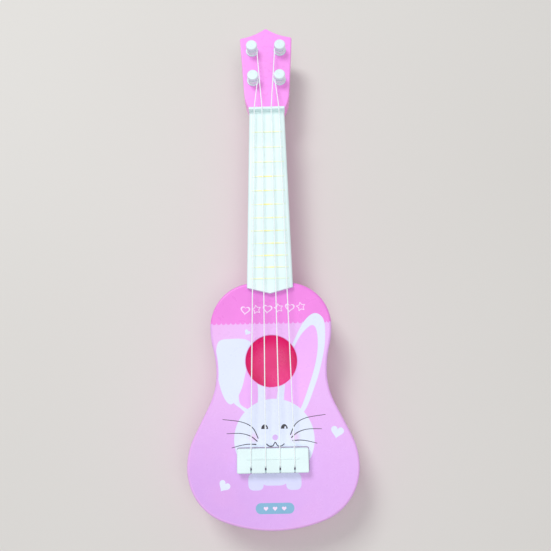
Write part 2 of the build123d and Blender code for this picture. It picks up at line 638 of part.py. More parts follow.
def make_key(x, y):
    """Wing key on the end of a peg's shaft, behind the headstock."""
    with BuildPart() as key:
        with BuildSketch(Plane.XZ.offset(-y - KEY_THICKNESS / 2)):
            with Locations((x, (KEY_END + KEY_WING_TOP) / 2)):
                RectangleRounded(
                    2 * KEY_WING_REACH,
                    KEY_WING_TOP - KEY_END,
                    KEY_WING_CORNER_RADIUS,
                )
        extrude(amount=KEY_THICKNESS)
        fillet(faces().filter_by(Axis.Y).edges(), radius=KEY_EDGE_RADIUS)
        with BuildSketch(Plane.XY.offset(KEY_HUB_END)):
            with Locations((x, y)):
                Circle(KEY_HUB)
        extrude(amount=KEY_TOP - KEY_HUB_END)
        # Socket with a flat side that fits the end of the peg's shaft
        with BuildSketch(Plane.XY.offset(PEG_END - TOUCH)):
            with Locations((x, y)):
                Circle(PEG_SHAFT + TOUCH)
            with Locations((x + PEG_SHAFT + TOUCH, y)):
                Rectangle(2 * PEG_FLAT, 4 * PEG_SHAFT, mode=Mode.SUBTRACT)
        extrude(amount=KEY_TOP, mode=Mode.SUBTRACT)
        with Locations(*facing_down([(x, y, KEY_END)])):
            CounterBoreHole(CLEARANCE_HOLE, RECESS, KEY_SCREW_SEAT - KEY_END, depth=KEY_TOP)
    return key.part


def make_washer(x, y):
    """Friction washer between a key and the back of the headstock."""
    with BuildPart() as washer:
        with BuildSketch(Plane.XY.offset(KEY_TOP + TOUCH)):
            with Locations((x, y)):
                Circle(WASHER_RADIUS)
                Circle(PEG_SHAFT + TOUCH, mode=Mode.SUBTRACT)
        extrude(amount=WASHER_THICKNESS)
    return washer.part


def make_screw(length):
    """A pan-head screw pointing up, its head's bearing face at the origin."""
    with BuildPart() as screw:
        with BuildSketch():
            Circle(SCREW_SHANK)
        extrude(amount=length - SCREW_SHANK)
        extrude(faces().sort_by(Axis.Z)[-1], amount=SCREW_SHANK, taper=SCREW_POINT_TAPER)
        with BuildSketch():
            Circle(SCREW_HEAD)
        extrude(amount=-SCREW_HEAD_HEIGHT)
        fillet(faces().sort_by(Axis.Z)[0].edges(), radius=SCREW_HEAD_EDGE_RADIUS)
        with BuildSketch(Plane.XY.offset(-SCREW_HEAD_HEIGHT)):
            Rectangle(CROSS_LENGTH, CROSS_WIDTH)
            Rectangle(CROSS_WIDTH, CROSS_LENGTH)
        extrude(amount=CROSS_DEPTH, mode=Mode.SUBTRACT)
    return screw.part


# Writing the parts --------------------------------------------------------------------------

os.makedirs("parts", exist_ok=True)


def write(part, name):
    """Label a finished part and write it to its own file."""
    part.label = name
    export_step(part, f"parts/{name}.step")


write(body_back_shell.part, "body_back_shell")
write(body_front_panel.part, "body_front_panel")
write(neck_shell.part, "neck_shell")
write(headstock_cover.part, "headstock_cover")
write(fretboard.part, "fretboard")
write(nut.part, "nut")
write(bridge.part, "bridge")

for index, (peg_x, peg_station) in enumerate(PEG_PLACES):
    number = index + 1
    peg_y = y_at(peg_station)
    route = string_route(BRIDGE_STRING_SPACING[index], NUT_STRING_SPACING[index], peg_x, peg_station)
    write(make_string(route), f"string_{number}")
    write(make_peg(peg_x, peg_y), f"tuning_peg_{number}")
    write(make_winding(peg_x, peg_y), f"string_winding_{number}")
    write(make_key(peg_x, peg_y), f"tuning_key_{number}")
    write(make_washer(peg_x, peg_y), f"key_washer_{number}")
    write(Pos(peg_x, peg_y, KEY_SCREW_SEAT) * make_screw(KEY_SCREW_LENGTH), f"key_screw_{number}")

with BuildPart() as body_screws:
    with Locations(*both_sides(BODY_SCREW_PLACES, BODY_SCREW_SEAT)):
        add(make_screw(BODY_SCREW_LENGTH))
write(body_screws.part, "body_screws")

with BuildPart() as neck_screws:
    with Locations(*both_sides([NECK_SCREW_PLACE], BODY_SCREW_SEAT)):
        add(make_screw(NECK_SCREW_LENGTH))
write(neck_screws.part, "neck_screws")

with BuildPart() as fretboard_screws:
    with Locations(*on_centreline(BOARD_SCREW_STATIONS, NECK_SCREW_SEAT)):
        add(make_screw(BOARD_SCREW_LENGTH))
write(fretboard_screws.part, "fretboard_screws")

with BuildPart() as headstock_screws:
    with Locations(*on_centreline(HEAD_SCREW_STATIONS, NECK_SCREW_SEAT)):
        add(make_screw(HEAD_SCREW_LENGTH))
write(headstock_screws.part, "headstock_screws")

with BuildPart() as bridge_screws:
    with Locations(*both_sides([(BRIDGE_SCREW_X, BRIDGE_STATION)], BODY_DEPTH - PANEL_THICKNESS)):
        add(make_screw(BRIDGE_SCREW_LENGTH))
write(bridge_screws.part, "bridge_screws")
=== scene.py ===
import math

import bmesh
import bpy
import numpy as np
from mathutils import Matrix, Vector, geometry


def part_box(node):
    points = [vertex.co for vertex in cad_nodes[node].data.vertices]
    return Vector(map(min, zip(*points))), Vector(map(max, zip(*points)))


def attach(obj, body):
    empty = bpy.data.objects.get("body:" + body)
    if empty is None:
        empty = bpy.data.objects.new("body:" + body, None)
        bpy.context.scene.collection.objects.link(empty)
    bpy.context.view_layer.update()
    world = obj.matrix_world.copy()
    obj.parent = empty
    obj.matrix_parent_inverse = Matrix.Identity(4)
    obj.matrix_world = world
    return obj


# Looks of the four-string toy guitar. Metres, in the CAD frame; MM turns millimetres into metres.
MM = 0.001

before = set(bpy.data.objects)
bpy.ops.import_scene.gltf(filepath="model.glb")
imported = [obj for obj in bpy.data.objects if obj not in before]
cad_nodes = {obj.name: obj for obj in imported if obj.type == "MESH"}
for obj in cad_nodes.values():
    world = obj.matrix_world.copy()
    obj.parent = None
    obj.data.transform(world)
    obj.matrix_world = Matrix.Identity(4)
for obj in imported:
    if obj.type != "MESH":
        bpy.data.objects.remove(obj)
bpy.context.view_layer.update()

BOTTOM_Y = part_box("body_back_shell")[0].y  # the bottom end of the body, where stations start
PANEL_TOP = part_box("body_front_panel")[1].z


def at(x, station, z=0.0):
    """A point from millimetres across, millimetres along from the body's bottom end, and metres up."""
    return Vector((x * MM, BOTTOM_Y + station * MM, z))


def rgb(red, green, blue):
    """A linear colour from 0 to 255 display values."""
    def linear(value):
        value /= 255
        return value / 12.92 if value <= 0.04045 else ((value + 0.055) / 1.055) ** 2.4
    return (linear(red), linear(green), linear(blue), 1.0)


def shade(colour, factor):
    """The colour made darker or lighter."""
    return tuple(min(1.0, channel * factor) for channel in colour[:3]) + (1.0,)


# Sizes of the print, in millimetres ---------------------------------------------------------------

BAND_STATION = 147.4  # where the darker band at the top of the body ends, between its scallops
BAND_REACH = 66.0  # to both sides, past the edges of the soundboard
SCALLOP_PITCH = 3.6
SCALLOP_DROP = 1.9
PRINT_SOLID = 0.9  # on the soundboard's rounded edge, the print is whole down to here,
PRINT_GONE = 1.5  # and gone from here down
SHADE_LINE_WIDTH = 0.5  # painted shade: a dark line round the foot of the bridge, where it meets the soundboard
SHADE_LINE_CORNER = 1.7

FACE_X = 1.2  # the rabbit's face is a little to the right of the middle
HEAD_STATION = 62.0
HEAD_WIDTH = 58.0
HEAD_HEIGHT = 57.0
EYES_X = FACE_X + 0.2  # the middle between the eyes
EYE_STATION = 69.2
EYE_SPACING = 7.1  # from the middle to each eye
EYE_WIDTH = 5.0
EYE_HEIGHT = 6.4  # of the whole oval, of which the upper half is drawn
GLINT_SHIFT = 0.7  # right of an eye's middle, and above it
NOSE_X = FACE_X + 0.6
NOSE_STATION = 63.2
NOSE_WIDTH = 4.0
CHEEK_SPACING = 15.0  # from the middle of the face to the middle of each cheek
CHEEK_WIDTH = 10.0
MOUTH_LINE = 0.8
WHISKER_LINE = 0.75

BANNER_COUNT = 6
BANNER_START = (-19.0, 156.4)  # the first shape of the row
BANNER_STEP = (8.4, 0.35)  # from one shape to the next
BANNER_WIDTH = 7.4
BANNER_LINE = 1.1
PILL_X = 0.8
PILL_STATION = 15.1
PILL_WIDTH = 27.2
PILL_HEIGHT = 7.3
PILL_HEART_WIDTH = 3.2
PILL_HEART_SPACING = 6.4

# Colours ------------------------------------------------------------------------------------------

PINK = rgb(233, 154, 238)
INNER_SHADE_PINK = rgb(232, 60, 184)  # painted shade: the inside of the body, seen through the soundhole, is the same plastic made a deeper pink
WHITE = rgb(215, 233, 232)
BOARD_WHITES = (rgb(214, 233, 231), rgb(222, 239, 237))
FRET_GOLDS = (rgb(242, 220, 66), rgb(251, 239, 110))
NYLON_WHITES = (rgb(240, 250, 252), rgb(252, 255, 255))
STEEL_GREYS = (rgb(176, 178, 182), rgb(206, 207, 210))
WASHER_GREYS = (rgb(176, 176, 180), rgb(196, 196, 200))
FLOOR_GREYS = (rgb(214, 210, 204), rgb(222, 219, 214))

BAND = rgb(242, 130, 226)
FIELD_EDGE = rgb(236, 180, 244)  # on the soundboard's rounded edge
FIELD_BOTTOM = rgb(216, 164, 236)
FIELD_TOP = rgb(242, 188, 246)
FIELD_RIGHT = rgb(238, 186, 252)
FIELD_CLOUD = rgb(240, 172, 232)
FIELD_GRAIN = rgb(206, 146, 220)
FACE_WHITE = rgb(226, 233, 253)
BLUSH = rgb(246, 196, 246)

# Painted light: the plastic is given a faint glow, standing in for the light that spreads inside translucent
# plastic and brightens its shaded sides.
PINK_PAINTED_GLOW = rgb(255, 40, 130)
WHITE_PAINTED_GLOW = rgb(205, 228, 234)
PAINTED_GLOW_STRENGTH = 0.15
INNER_WALL_PAINTED_GLOW = rgb(232, 8, 78)  # painted light: the inner walls of the body glow, standing in for light coming through the plastic from all round
INNER_WALL_PAINTED_GLOW_STRENGTH = 0.3
INSIDE_POINT = at(0, 109, 20 * MM)  # in the hollow of the body; its inner faces look towards this point


# Material building blocks -------------------------------------------------------------------------

# A SIZE here is how far across the lumps of a noise are.
FLOW_SIZE = 30 * MM
PEEL_SIZE = 2.6 * MM
PEEL_DEPTH = 0.012 * MM
SINK_SIZE = 24 * MM
SINK_DEPTH = 0.12 * MM
PLASTIC_GLOSS_SIZE = 4 * MM
PRINT_GLOSS_SIZE = 5 * MM
PRINT_GLOSS = (0.26, 0.36)  # the lowest and highest roughness of the film over the print
PRINT_DOT_SIZE = 1.1 * MM
CLOUD_SIZE = 38 * MM
FIELD_CLOUD_SIZE = 34 * MM
PLASTIC_IOR = 1.49
NYLON_IOR = 1.53


class Look:
    """A material, with calls that add and link its shader nodes."""

    def __init__(self, name):
        self.material = bpy.data.materials.new(name)
        self.material.use_nodes = True
        self.tree = self.material.node_tree
        self.shader = self.tree.nodes["Principled BSDF"]
        self.place = self.add("ShaderNodeTexCoord").outputs["Object"]

    def add(self, kind, inputs=None, **settings):
        """Adds a node with these settings, and puts a value or a link into each of the inputs."""
        node = self.tree.nodes.new(kind)
        for key, value in settings.items():
            setattr(node, key, value)
        for key, value in (inputs or {}).items():
            self.put(node.inputs[key], value)
        return node

    def put(self, socket, value):
        """Links an output to a socket, or sets the socket to a constant."""
        if isinstance(value, bpy.types.NodeSocket):
            self.tree.links.new(value, socket)
        else:
            socket.default_value = value

    def set(self, **values):
        """Sets sockets of the shader; underscores stand for spaces."""
        for key, value in values.items():
            self.put(self.shader.inputs[key.replace("_", " ")], value)

    def axis(self, letter):
        """One coordinate of the place, in metres."""
        return self.add("ShaderNodeSeparateXYZ", {0: self.place}).outputs[letter]

    def math(self, operation, a, b=0.0):
        """One step of arithmetic; an operation on one number leaves b unused."""
        return self.add("ShaderNodeMath", {0: a, 1: b}, operation=operation).outputs[0]

    def times(self, a, b):
        """The product of two numbers."""
        return self.math("MULTIPLY", a, b)

    def length(self, a, b):
        """The length of the flat vector (a, b)."""
        return self.math("SQRT", self.math("ADD", self.times(a, a), self.times(b, b)))

    def vector_math(self, operation, a, b):
        """The outputs of one step of vector arithmetic: Vector, or Value where the result is a number."""
        return self.add("ShaderNodeVectorMath", {0: a, 1: b}, operation=operation).outputs

    def looks_towards(self, point):
        """1 on faces that look towards the point, and 0 on the others."""
        normal = self.add("ShaderNodeNewGeometry").outputs["True Normal"]
        outwards = self.vector_math("SUBTRACT", self.place, tuple(point))["Vector"]
        return self.math("LESS_THAN", self.vector_math("DOT_PRODUCT", normal, outwards)["Value"], 0.0)

    def step(self, value, low, high, a=0.0, b=1.0):
        """Goes smoothly from a to b as value goes from low to high."""
        inputs = {"Value": value, "From Min": low, "From Max": high, "To Min": a, "To Max": b}
        return self.add("ShaderNodeMapRange", inputs, interpolation_type="SMOOTHSTEP").outputs[0]

    def noise(self, size, detail=2.0):
        """Noise from 0 to 1 whose lumps are about size metres across."""
        inputs = {"Vector": self.place, "Scale": 1 / size, "Detail": detail}
        return self.add("ShaderNodeTexNoise", inputs).outputs["Fac"]

    def uneven(self, size, low=0.0, high=1.0, detail=3.0):
        """A value that wanders from low to high and back, over lumps of about size metres."""
        return self.step(self.noise(size, detail), 0.3, 0.7, low, high)

    def flow_marks(self, size=FLOW_SIZE):
        """The faint marks that flowing plastic leaves, from 0 to 1."""
        return self.step(self.noise(size, detail=3.0), 0.35, 0.65)

    def mix(self, amount, a, b):
        """The colour a at an amount of 0, and the colour b at 1."""
        # The colours of a mix node are its sockets 6 and 7, and its output 2.
        return self.add("ShaderNodeMix", {0: amount, 6: a, 7: b}, data_type="RGBA").outputs[2]

    def bump(self, height, distance, strength, normal=None):
        """A normal tilted by a height from 0 to 1 that stands for distance metres, over an earlier normal."""
        inputs = {"Height": height, "Distance": distance, "Strength": strength}
        if normal is not None:
            inputs["Normal"] = normal
        return self.add("ShaderNodeBump", inputs).outputs["Normal"]

    def set_moulded_surface(self, roughness):
        """Orange peel and long shallow sink marks, as on injection-moulded plastic."""
        peel = self.bump(self.noise(PEEL_SIZE, detail=1.0), PEEL_DEPTH, strength=0.6)
        sinks = self.bump(self.noise(SINK_SIZE, detail=1.0), SINK_DEPTH, strength=0.4, normal=peel)
        self.set(Roughness=roughness, Normal=sinks, IOR=PLASTIC_IOR)


# Materials of the pieces --------------------------------------------------------------------------


def moulded_tone(look, colour):
    """The colour of moulded plastic, with faint flow marks."""
    return look.mix(look.flow_marks(), shade(colour, 0.95), shade(colour, 1.03))


def moulded_roughness(look, roughness):
    """A roughness that wanders a little to both sides of the one given."""
    return look.uneven(PLASTIC_GLOSS_SIZE, low=0.85 * roughness, high=1.2 * roughness)


def moulded_plastic(name, colour, roughness, painted_glow):
    """Glossy moulded plastic; painted_glow is the colour of a painted glow, standing in for the light inside
    it, which brightens its shaded sides.
    """
    look = Look(name)
    look.set(Base_Color=moulded_tone(look, colour))
    look.set(Emission_Color=painted_glow, Emission_Strength=PAINTED_GLOW_STRENGTH)
    look.set_moulded_surface(moulded_roughness(look, roughness))
    return look.material


def shell_plastic(name, roughness):
    """The pink plastic of the back shell, with painted shade (a deeper pink) and a stronger painted glow on
    its inner faces.
    """
    look = Look(name)
    inside = look.looks_towards(INSIDE_POINT)
    # Painted shade: the inner faces get a deeper pink than the outer ones, though both are the same plastic.
    inner_shade_tone = look.mix(look.flow_marks(), shade(INNER_SHADE_PINK, 0.92), INNER_SHADE_PINK)
    look.set(Base_Color=look.mix(inside, moulded_tone(look, PINK), inner_shade_tone))
    # The shader has one strength for all faces, so the outer ones get a darker painted glow in place of a
    # weaker one.
    outside_painted_glow = shade(PINK_PAINTED_GLOW, PAINTED_GLOW_STRENGTH / INNER_WALL_PAINTED_GLOW_STRENGTH)
    look.set(Emission_Color=look.mix(inside, outside_painted_glow, INNER_WALL_PAINTED_GLOW), Emission_Strength=INNER_WALL_PAINTED_GLOW_STRENGTH)
    look.set_moulded_surface(moulded_roughness(look, roughness))
    return look.material


def panel_plastic():
    """Pink plastic of the soundboard, with the print running out over its rounded edge."""
    look = Look("panel_plastic")
    moulded = look.mix(look.flow_marks(), shade(PINK, 0.92), PINK)
    band_edge = BAND_STATION - 0.9  # about half-way down the scallops
    in_band = look.step(look.axis("Y"), at(0, band_edge - 0.1).y, at(0, band_edge + 0.1).y)
    print_colour = look.mix(in_band, FIELD_EDGE, BAND)
    in_print = look.step(look.axis("Z"), PANEL_TOP - PRINT_GONE * MM, PANEL_TOP - PRINT_SOLID * MM)
    look.set(Base_Color=look.mix(in_print, moulded, print_colour))
    look.set_moulded_surface(look.uneven(PLASTIC_GLOSS_SIZE, *PRINT_GLOSS))
    return look.material


def fretboard_plastic():
    """White satin plastic whose raised frets carry thin gold foil, worn away towards their ends."""
    look = Look("fretboard_plastic")
    fret_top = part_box("fretboard")[1].z
    on_fret = look.step(look.axis("Z"), fret_top - 0.3 * MM, fret_top - 0.22 * MM)
    from_middle = look.math("ABSOLUTE", look.axis("X"))
    kept = look.step(from_middle, low=3 * MM, high=13 * MM, a=0.95, b=0.4)
    patchy = look.uneven(9 * MM, low=0.35, high=1.0, detail=2.0)
    foil = look.times(on_fret, look.times(kept, patchy))
    white = look.mix(look.flow_marks(25 * MM), *BOARD_WHITES)
    gold = look.mix(look.noise(1.0 * MM), *FRET_GOLDS)
    look.set(Base_Color=look.mix(foil, white, gold), Metallic=look.times(foil, 0.3))
    # Painted light: a faint glow brightens the board's shaded parts, such as the strings' shadows on it.
    look.set(Emission_Color=WHITE_PAINTED_GLOW, Emission_Strength=PAINTED_GLOW_STRENGTH)
    look.set_moulded_surface(look.uneven(3 * MM, low=0.3, high=0.42))
    return look.material


def nylon():
    """Drawn nylon line."""
    look = Look("nylon")
    look.set(Base_Color=look.mix(look.noise(6 * MM), *NYLON_WHITES))
    look.set(Roughness=look.uneven(1.5 * MM, low=0.22, high=0.34, detail=2.0), IOR=NYLON_IOR)
    return look.material


def steel():
    """Zinc-plated screw steel, with a fine uneven grain."""
    look = Look("screw_steel")
    look.set(Base_Color=look.mix(look.noise(0.8 * MM, detail=3.0), *STEEL_GREYS), Metallic=1.0)
    look.set(Roughness=look.uneven(0.5 * MM, low=0.28, high=0.45))
    look.set(Normal=look.bump(look.noise(0.25 * MM), distance=0.01 * MM, strength=0.4))
    return look.material


def soft_washer():
    """The grey rubber of the friction washers."""
    look = Look("washer_rubber")
    look.set(Base_Color=look.mix(look.noise(1.2 * MM, detail=3.0), *WASHER_GREYS))
    look.set(Roughness=look.uneven(0.7 * MM, low=0.6, high=0.75, detail=2.0))
    look.set(Normal=look.bump(look.noise(0.4 * MM), distance=0.01 * MM, strength=0.5))
    return look.material


# Inks of the print --------------------------------------------------------------------------------


def printed(look, tone):
    """Finishes an ink: its colour, under the smooth gloss of a clear film."""
    look.set(Base_Color=tone)
    look.set_moulded_surface(look.uneven(PRINT_GLOSS_SIZE, *PRINT_GLOSS))
    return look.material


def grained(look, amount, tone, grain_colour):
    """The tone with some of the grain's colour in it, in fine dots."""
    return look.mix(look.times(look.noise(PRINT_DOT_SIZE), amount), tone, grain_colour)


def ink(name, colour, variation=0.04):
    """An ink of one colour, faintly cloudy and grained."""
    look = Look("ink_" + name)
    cloudy = look.mix(look.uneven(CLOUD_SIZE), shade(colour, 1 - variation), shade(colour, 1 + variation))
    return printed(look, grained(look, 0.12, cloudy, shade(colour, 0.88)))


def field_ink():
    """The lavender field: pinker under the band, deeper towards the bottom of the body."""
    look = Look("ink_field")
    along = look.step(look.axis("Y"), low=at(0, 5).y, high=at(0, 140).y)
    across = look.step(look.axis("X"), low=-55 * MM, high=55 * MM)
    cloud = look.step(look.noise(FIELD_CLOUD_SIZE, detail=3.0), low=0.45, high=0.8)
    tone = look.mix(along, FIELD_BOTTOM, FIELD_TOP)
    tone = look.mix(look.times(across, 0.45), tone, FIELD_RIGHT)
    tone = look.mix(look.times(cloud, 0.3), tone, FIELD_CLOUD)
    return printed(look, grained(look, 0.1, tone, FIELD_GRAIN))


def cheek_ink():
    """The white of the face, turning pink towards the middle of each cheek."""
    look = Look("ink_cheek")
    from_middle = look.math("ABSOLUTE", look.math("SUBTRACT", look.axis("X"), FACE_X * MM))
    across = look.math("SUBTRACT", from_middle, CHEEK_SPACING * MM)
    along = look.math("SUBTRACT", look.axis("Y"), at(0, NOSE_STATION).y)
    blush = look.step(look.length(across, along), low=0.0, high=CHEEK_WIDTH / 2 * MM, a=0.7, b=0.0)
    return printed(look, look.mix(blush, FACE_WHITE, BLUSH))


# Flat shapes of the print, as lists of (x, station) in millimetres --------------------------------

SAME_POINT = 1e-6  # millimetres
HEART_WAVES = ((1, 13), (2, -5), (3, -2), (4, -1))  # a heart's outline goes up and down as their sum does
HEART_UNITS = 32  # the width of the heart that these waves are for
STAR_WAIST = 0.58  # how far out a star's inner corners are, as a part of how far out its points are


def angles(count):
    """Evenly spaced angles, once round."""
    return [2 * math.pi * index / count for index in range(count)]


def placed(points, x, station, tilt=0.0):
    """The points turned by tilt degrees round (0, 0), and moved from there to (x, station)."""
    turn = math.radians(tilt)
    cosine = math.cos(turn)
    sine = math.sin(turn)
    return [(x + a * cosine - b * sine, station + a * sine + b * cosine) for a, b in points]


def ellipse(x, station, width, height, tilt=0.0, count=48):
    """An ellipse of the given full width and height."""
    points = [(width / 2 * math.cos(angle), height / 2 * math.sin(angle)) for angle in angles(count)]
    return placed(points, x, station, tilt)


def superellipse(x, station, width, height, power=0.62, count=48):
    """A rounded square."""
    def swollen(value):
        return math.copysign(abs(value) ** power, value)
    points = []
    for angle in angles(count):
        points.append((width / 2 * swollen(math.cos(angle)), height / 2 * swollen(math.sin(angle))))
    return placed(points, x, station)


def heart(x, station, width, tilt=0.0, count=48):
    """A heart of the given width, point down."""
    points = []
    for angle in angles(count):
        height = sum(size * math.cos(number * angle) for number, size in HEART_WAVES) / HEART_UNITS
        points.append((width / 2 * math.sin(angle) ** 3, width * height))
    return placed(points, x, station, tilt)


def star(x, station, width, tilt=0.0):
    """A plump five-pointed star."""
    points = []
    for index in range(10):
        angle = math.radians(90 + 36 * index)
        radius = width / 2 * (1 if index % 2 == 0 else STAR_WAIST)
        points.append((radius * math.cos(angle), radius * math.sin(angle)))
    return smooth(placed(points, x, station, tilt), closed=True, steps=4)


def capsule(x, station, width, height, corner=None, count=8):
    """A bar with half-round ends, or with smaller rounded corners."""
    radius = height / 2 if corner is None else corner
    across = width / 2 - radius
    along = height / 2 - radius
    points = []
    for start, side, end in ((0, 1, 1), (90, -1, 1), (180, -1, -1), (270, 1, -1)):
        for index in range(count + 1):
            angle = math.radians(start + 90 * index / count)
            point = (side * across + radius * math.cos(angle), end * along + radius * math.sin(angle))
            if not points or math.dist(point, points[-1]) > SAME_POINT:
                points.append(point)
    return placed(points, x, station)


def smooth(points, closed=False, steps=8):
    """A Catmull-Rom curve through the points."""
    count = len(points)
    curve = []
    for index in range(count if closed else count - 1):
        if closed:
            places = [(index + offset) % count for offset in (-1, 0, 1, 2)]
        else:
            places = [min(max(index + offset, 0), count - 1) for offset in (-1, 0, 1, 2)]
        before, start, end, after = (np.array(points[place]) for place in places)
        for step in range(steps):
            t = step / steps
            straight = (end - before) * t
            square = (2 * before - 5 * start + 4 * end - after) * t**2
            cube = (3 * start - before - 3 * end + after) * t**3
            curve.append(tuple(0.5 * (2 * start + straight + square + cube)))
    if not closed:
        curve.append(tuple(points[-1]))
    return curve


def stroke(points, width, taper, steps=10):
    """A drawn line: a smooth curve of some width, which is narrower by the factor taper at its far end."""
    line = [np.array(point) for point in smooth(points, steps=steps)]
    last = len(line) - 1
    left = []
    right = []
    for index, point in enumerate(line):
        ahead = line[min(index + 1, last)] - line[max(index - 1, 0)]
        ahead = ahead / np.linalg.norm(ahead)
        half = width / 2 * (1 - (1 - taper) * index / last)
        sideways = np.array((-ahead[1], ahead[0])) * half
        left.append(tuple(point + sideways))
        right.append(tuple(point - sideways))
    return left + right[::-1]


def scalloped_band(station, reach, pitch, drop, top=200.0, steps=8):
    """Everything above a line of small round scallops, out to reach on both sides."""
    points = [(-reach, top)]
    for index in range(round(2 * reach / pitch)):
        middle = -reach + (index + 0.5) * pitch
        for step in range(steps):
            angle = math.pi * step / steps
            points.append((middle - pitch / 2 * math.cos(angle), station - drop * math.sin(angle)))
    points += [(reach, station), (reach, top)]
    return points


# The picture, as lists of (ink, outline) from the lowest layer to the highest ---------------------


def print_layers():
    """The whole decoration, with the painted shade line round the bridge, without the field that they lie on.
    """
    layers = [("band", scalloped_band(BAND_STATION, BAND_REACH, SCALLOP_PITCH, SCALLOP_DROP))]
    layers += rabbit_ears() + rabbit_head() + rabbit_paws()
    layers += loose_hearts() + bridge_shade_line() + banner() + pill()
    return layers


def rabbit_ears():
    """One ear stands up, the other is folded over; both start behind the soundhole."""
    stem = [(-29, 92), (-23, 84), (-16, 80), (-6.2, 84), (-6.4, 104), (-14, 122), (-24, 118)]
    stem_inside = [(-24.2, 91), (-20, 84.6), (-12, 83), (-10.3, 90), (-10.7, 102), (-14, 112), (-22, 112)]
    fold = [(-39.6, 132.4), (-29.5, 134.9), (-18, 133.9), (-14.4, 128), (-18.6, 112), (-21.6, 99.6),
            (-25.6, 91.4), (-30, 87), (-34.6, 91), (-38.6, 102), (-40.8, 117)]
    ear = [(4.6, 84), (4.8, 99), (9, 116), (15.8, 130), (24.6, 146.4), (33, 153), (39.6, 148.6), (40.6, 136),
           (38.4, 121), (32, 100), (21, 79)]
    ear_inside = [(9.6, 84), (9.6, 99), (13, 117), (20.6, 134), (28.4, 142.8), (32.8, 143.2), (34.8, 136),
                  (34, 122), (29, 104), (18.6, 80)]
    return [
        ("white", smooth(stem, closed=True)),
        ("inner_ear", smooth(stem_inside, closed=True)),
        ("white", smooth(fold, closed=True)),
        ("white", smooth(ear, closed=True)),
        ("inner_ear", smooth(ear_inside, closed=True)),
    ]


def rabbit_head():
    """A round head, its chin behind the bridge, with cheeks, eyes, nose, mouth and whiskers."""
    layers = [("white", ellipse(FACE_X, HEAD_STATION, HEAD_WIDTH, HEAD_HEIGHT, count=96))]
    for side in (-1, 1):
        cheek_x = FACE_X + side * CHEEK_SPACING
        layers.append(("cheek", ellipse(cheek_x, NOSE_STATION, CHEEK_WIDTH, CHEEK_WIDTH)))
        layers += rabbit_eye(EYES_X + side * EYE_SPACING)
    layers.append(("nose", ellipse(NOSE_X, NOSE_STATION, NOSE_WIDTH, NOSE_WIDTH)))
    mouth = [(-4.6, 58.8), (-2.6, 57.3), (0.0, 57.4), (1.8, 59.8), (3.6, 57.4), (6.2, 57.3), (8.4, 58.8)]
    layers.append(("dark", stroke(mouth, MOUTH_LINE, taper=0.8)))
    return layers + rabbit_whiskers()


def rabbit_eye(x):
    """The upper half of a dark oval, with a glint."""
    oval = ellipse(x, EYE_STATION, EYE_WIDTH, EYE_HEIGHT)
    dome = [point for point in oval if point[1] > EYE_STATION - SAME_POINT]
    glint = ellipse(x + GLINT_SHIFT, EYE_STATION + GLINT_SHIFT, width=1.3, height=1.9, tilt=-12)
    return [("dark", dome), ("white", glint)]


def rabbit_whiskers():
    """Three whiskers on each side, a little higher on the right."""
    rows = [((11.6, 62.6), (15.6, 70.2), (23.6, 74.4), (37.4, 76.4)),
            ((12.2, 60.6), (17.2, 64.4), (24.4, 66.4), (34.4, 66.4)),
            ((13.0, 58.6), (19.0, 58.8), (24.6, 58.0), (30.8, 56.4))]
    layers = []
    for side, lift in ((-1, 0.0), (1, 2.2)):
        for row in rows:
            points = [(FACE_X + side * x, station + lift) for x, station in row]
            layers.append(("dark", stroke(points, WHISKER_LINE, taper=0.55)))
    return layers


def rabbit_paws():
    """The lower edge of the tummy and two paws, below the bridge."""
    layers = [("paw", capsule(x=0.6, station=37.0, width=22.0, height=13.4))]
    for x in (-12.4, 14.4):
        layers.append(("paw", superellipse(x, station=33.0, width=11.0, height=11.6)))
    return layers


def loose_hearts():
    """Three small hearts round the rabbit."""
    return [
        ("white", heart(x=46.6, station=66.4, width=9.4, tilt=-14)),
        ("white", heart(x=-35.0, station=30.6, width=8.4, tilt=-34)),
        ("white", heart(x=-17.6, station=139.6, width=4.6, tilt=-34)),
    ]


def bridge_shade_line():
    """Painted shade: a dark line round the foot of the bridge, where it meets the soundboard."""
    low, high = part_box("bridge")
    x = (low.x + high.x) / 2 / MM
    station = ((low.y + high.y) / 2 - BOTTOM_Y) / MM
    width = (high.x - low.x) / MM + 2 * SHADE_LINE_WIDTH
    height = (high.y - low.y) / MM + 2 * SHADE_LINE_WIDTH
    return [("bridge_shade", capsule(x, station, width, height, corner=SHADE_LINE_CORNER))]


def banner():
    """A row of small outlined shapes across the upper band."""
    layers = []
    for index in range(BANNER_COUNT):
        shape, tilt = ((heart, -8), (star, 10))[index % 2]
        x = BANNER_START[0] + BANNER_STEP[0] * index
        station = BANNER_START[1] + BANNER_STEP[1] * index
        layers.append(("pale_line", shape(x, station, BANNER_WIDTH, tilt=tilt)))
        layers.append(("band", shape(x, station, BANNER_WIDTH - 2 * BANNER_LINE, tilt=tilt)))
    return layers


def pill():
    """A light-blue lozenge with three small hearts."""
    layers = [("pill", capsule(PILL_X, PILL_STATION, PILL_WIDTH, PILL_HEIGHT))]
    for side in (-1, 0, 1):
        heart_x = PILL_X + side * PILL_HEART_SPACING
        layers.append(("pale_line", heart(heart_x, PILL_STATION - 0.1, PILL_HEART_WIDTH)))
    return layers


# The printed film ---------------------------------------------------------------------------------

SNAP = 0.001 * MM  # points of a CAD mesh nearer than this are one point
MERGE = 1e-7  # the same for points of the print, in metres
FILM_LIFT = 0.03 * MM
FILM_THICKNESS = 0.02 * MM


def add_object(name, data):
    """A new object of the scene, made from its data."""
    thing = bpy.data.objects.new(name, data)
    bpy.context.scene.collection.objects.link(thing)
    return thing


